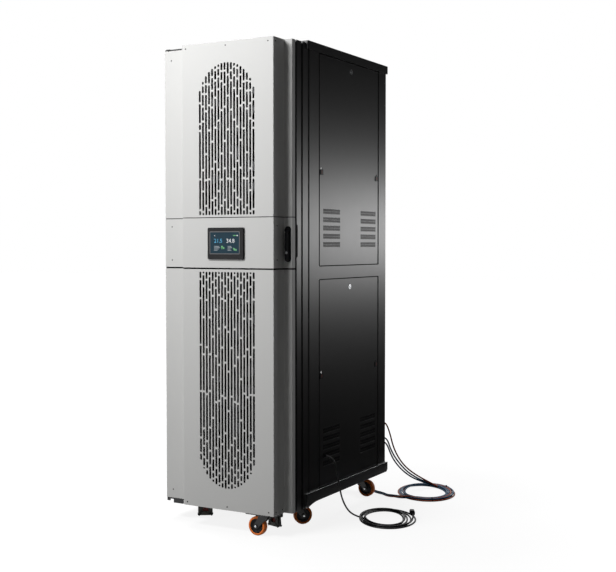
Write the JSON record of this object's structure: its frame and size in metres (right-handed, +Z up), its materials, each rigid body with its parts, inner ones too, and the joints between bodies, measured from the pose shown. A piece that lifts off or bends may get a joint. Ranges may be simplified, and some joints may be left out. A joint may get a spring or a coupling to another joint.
{
  "type": "rear door heat exchanger",
  "caption": "Liquid-cooled rear door with slotted grilles, fans, coil and display, hung on a black rack cabinet on casters",
  "frame": {"origin": "the middle of the cabinet and door on the floor, halfway between the display's face and the rear of the base", "axes": "+X to the right seen from the door's face, +Y from the door to the open end of the cabinet, +Z up"},
  "size_m": [0.9528, 1.1919, 1.923],
  "materials": {
    "door_paint": "satin",
    "frame_black": "satin",
    "zinc": "brushed",
    "steel": "polished",
    "aluminium_fins": "satin",
    "copper_tube": "satin",
    "rubber_black": "matte",
    "orange_tread": "satin",
    "plastic_black": "matte",
    "plastic_grey": "matte",
    "screen_glass": "gloss",
    "latch_red": "gloss",
    "sleeve_black": "satin",
    "sleeve_orange": "satin",
    "sleeve_blue": "satin"
  },
  "bodies": {
    "root": {"cabinet_frame": "frame_black", "roof_panel": "frame_black", "base_skirt": "frame_black", "right_upper_panel": "frame_black", "right_lower_panel": "frame_black", "left_upper_panel": "frame_black", "left_lower_panel": "frame_black", "rack_rails": "zinc", "adapter_frame": "frame_black", "hinge_brackets": "frame_black", "caster_plates": "zinc", "cable_glands": "plastic_black", "power_cord": "sleeve_black", "power_cord_coil": "sleeve_black", "power_plug": "plastic_black", "orange_strand": "sleeve_orange", "blue_strand_a": "sleeve_blue", "blue_strand_b": "sleeve_blue", "strand_tail": "sleeve_blue", "strand_coil": "sleeve_blue"},
    "door": {"door_tray": "frame_black", "upper_grille_panel": "door_paint", "display_panel": "door_paint", "lower_grille_panel": "door_paint", "door_gasket": "rubber_black", "coil_fins": "aluminium_fins", "coil_circuit": "copper_tube", "fan_plate": "frame_black", "display_bezel": "plastic_black", "display_screen": "screen_glass", "handle_dish": "plastic_black", "door_caster_bracket": "zinc"},
    "fan_1": {"fan_rotor_1": "plastic_black"},
    "fan_2": {"fan_rotor_2": "plastic_black"},
    "fan_3": {"fan_rotor_3": "plastic_black"},
    "fan_4": {"fan_rotor_4": "plastic_black"},
    "fan_5": {"fan_rotor_5": "plastic_black"},
    "handle": {"handle_spindle": "steel"},
    "lever": {"swing_lever": "plastic_black"},
    "key": {"key_plug": "steel"},
    "caster_fr": {"caster_fork_fr": "frame_black"},
    "wheel_fr": {"caster_wheel_fr": "orange_tread"},
    "caster_fl": {"caster_fork_fl": "frame_black"},
    "wheel_fl": {"caster_wheel_fl": "orange_tread"},
    "caster_rr": {"caster_fork_rr": "frame_black"},
    "wheel_rr": {"caster_wheel_rr": "orange_tread"},
    "caster_rl": {"caster_fork_rl": "frame_black"},
    "wheel_rl": {"caster_wheel_rl": "orange_tread"},
    "pedal_fr": {"brake_pedal_fr": "plastic_grey"},
    "pedal_fl": {"brake_pedal_fl": "plastic_grey"},
    "door_caster": {"door_caster_fork": "frame_black"},
    "door_wheel": {"door_caster_wheel": "orange_tread"},
    "lock_ru": {"panel_lock_ru": "steel"},
    "latches_ru": {"panel_latches_ru": "latch_red"},
    "lock_rl": {"panel_lock_rl": "steel"},
    "latches_rl": {"panel_latches_rl": "latch_red"},
    "lock_lu": {"panel_lock_lu": "steel"},
    "latches_lu": {"panel_latches_lu": "latch_red"},
    "lock_ll": {"panel_lock_ll": "steel"},
    "latches_ll": {"panel_latches_ll": "latch_red"}
  },
  "joints": [
    {"name": "door_hinge", "type": "hinge", "parent": "root", "child": "door", "pos_m": [-0.284, -0.369, 0.9995], "axis": [0, 0, -1], "range_deg": [0, 120]},
    {"name": "fan_1_spin", "type": "hinge", "parent": "door", "child": "fan_1", "pos_m": [0.0499, -0.428, 0.3135], "axis": [0, -1, 0], "continuous": true},
    {"name": "fan_2_spin", "type": "hinge", "parent": "door", "child": "fan_2", "pos_m": [0.0499, -0.428, 0.5965], "axis": [0, -1, 0], "continuous": true},
    {"name": "fan_3_spin", "type": "hinge", "parent": "door", "child": "fan_3", "pos_m": [0.0499, -0.428, 0.8795], "axis": [0, -1, 0], "continuous": true},
    {"name": "fan_4_spin", "type": "hinge", "parent": "door", "child": "fan_4", "pos_m": [0.0499, -0.428, 1.39013], "axis": [0, -1, 0], "continuous": true},
    {"name": "fan_5_spin", "type": "hinge", "parent": "door", "child": "fan_5", "pos_m": [0.0499, -0.428, 1.68437], "axis": [0, -1, 0], "continuous": true},
    {"name": "handle_turn", "type": "hinge", "parent": "door", "child": "handle", "pos_m": [0.281, -0.383, 1.182], "axis": [0, -1, 0], "range_deg": [0, 90]},
    {"name": "lever_lift", "type": "hinge", "parent": "handle", "child": "lever", "pos_m": [0.281, -0.3888, 1.182], "axis": [-1, 0, 0], "range_deg": [0, 35]},
    {"name": "key_turn", "type": "hinge", "parent": "lever", "child": "key", "pos_m": [0.281, -0.392, 1.096], "axis": [0, -1, 0], "range_deg": [0, 90]},
    {"name": "caster_fr_swivel", "type": "hinge", "parent": "root", "child": "caster_fr", "pos_m": [0.216, -0.22, 0.09], "axis": [0, 0, 1], "continuous": true},
    {"name": "wheel_fr_spin", "type": "hinge", "parent": "caster_fr", "child": "wheel_fr", "pos_m": [0.24075, -0.19525, 0.0375], "axis": [-0.7071, 0.7071, 0], "continuous": true},
    {"name": "caster_fl_swivel", "type": "hinge", "parent": "root", "child": "caster_fl", "pos_m": [-0.216, -0.22, 0.09], "axis": [0, 0, 1], "continuous": true},
    {"name": "wheel_fl_spin", "type": "hinge", "parent": "caster_fl", "child": "wheel_fl", "pos_m": [-0.24467, -0.19992, 0.0375], "axis": [-0.5736, -0.8192, 0], "continuous": true},
    {"name": "caster_rr_swivel", "type": "hinge", "parent": "root", "child": "caster_rr", "pos_m": [0.216, 0.372, 0.09], "axis": [0, 0, 1], "continuous": true},
    {"name": "wheel_rr_spin", "type": "hinge", "parent": "caster_rr", "child": "wheel_rr", "pos_m": [0.251, 0.372, 0.0375], "axis": [0, 1, 0], "continuous": true},
    {"name": "caster_rl_swivel", "type": "hinge", "parent": "root", "child": "caster_rl", "pos_m": [-0.216, 0.372, 0.09], "axis": [0, 0, 1], "continuous": true},
    {"name": "wheel_rl_spin", "type": "hinge", "parent": "caster_rl", "child": "wheel_rl", "pos_m": [-0.251, 0.372, 0.0375], "axis": [0, -1, 0], "continuous": true},
    {"name": "brake_fr", "type": "hinge", "parent": "root", "child": "pedal_fr", "pos_m": [0.20553, -0.25653, 0.092], "axis": [0.9613, -0.2756, 0], "range_deg": [0, 5]},
    {"name": "brake_fl", "type": "hinge", "parent": "root", "child": "pedal_fl", "pos_m": [-0.19475, -0.2515, 0.092], "axis": [0.829, 0.5592, 0], "range_deg": [0, 5]},
    {"name": "door_caster_swivel", "type": "hinge", "parent": "door", "child": "door_caster", "pos_m": [0.21, -0.432, 0.08], "axis": [0, 0, 1], "continuous": true},
    {"name": "door_wheel_spin", "type": "hinge", "parent": "door_caster", "child": "door_wheel", "pos_m": [0.175, -0.432, 0.0375], "axis": [0, -1, 0], "continuous": true},
    {"name": "lock_ru_turn", "type": "hinge", "parent": "root", "child": "lock_ru", "pos_m": [0.3, 0.117, 1.851], "axis": [1, 0, 0], "range_deg": [0, 90]},
    {"name": "latches_ru_slide", "type": "slide", "parent": "root", "child": "latches_ru", "axis": [0, 0, 1], "range_m": [0, 0.008], "stiffness_N_per_m": 200},
    {"name": "lock_rl_turn", "type": "hinge", "parent": "root", "child": "lock_rl", "pos_m": [0.3, 0.104, 0.951], "axis": [1, 0, 0], "range_deg": [0, 90]},
    {"name": "latches_rl_slide", "type": "slide", "parent": "root", "child": "latches_rl", "axis": [0, 0, 1], "range_m": [0, 0.008], "stiffness_N_per_m": 200},
    {"name": "lock_lu_turn", "type": "hinge", "parent": "root", "child": "lock_lu", "pos_m": [-0.3, 0.117, 1.851], "axis": [-1, 0, 0], "range_deg": [0, 90]},
    {"name": "latches_lu_slide", "type": "slide", "parent": "root", "child": "latches_lu", "axis": [0, 0, 1], "range_m": [0, 0.008], "stiffness_N_per_m": 200},
    {"name": "lock_ll_turn", "type": "hinge", "parent": "root", "child": "lock_ll", "pos_m": [-0.3, 0.104, 0.951], "axis": [-1, 0, 0], "range_deg": [0, 90]},
    {"name": "latches_ll_slide", "type": "slide", "parent": "root", "child": "latches_ll", "axis": [0, 0, 1], "range_m": [0, 0.008], "stiffness_N_per_m": 200}
  ]
}
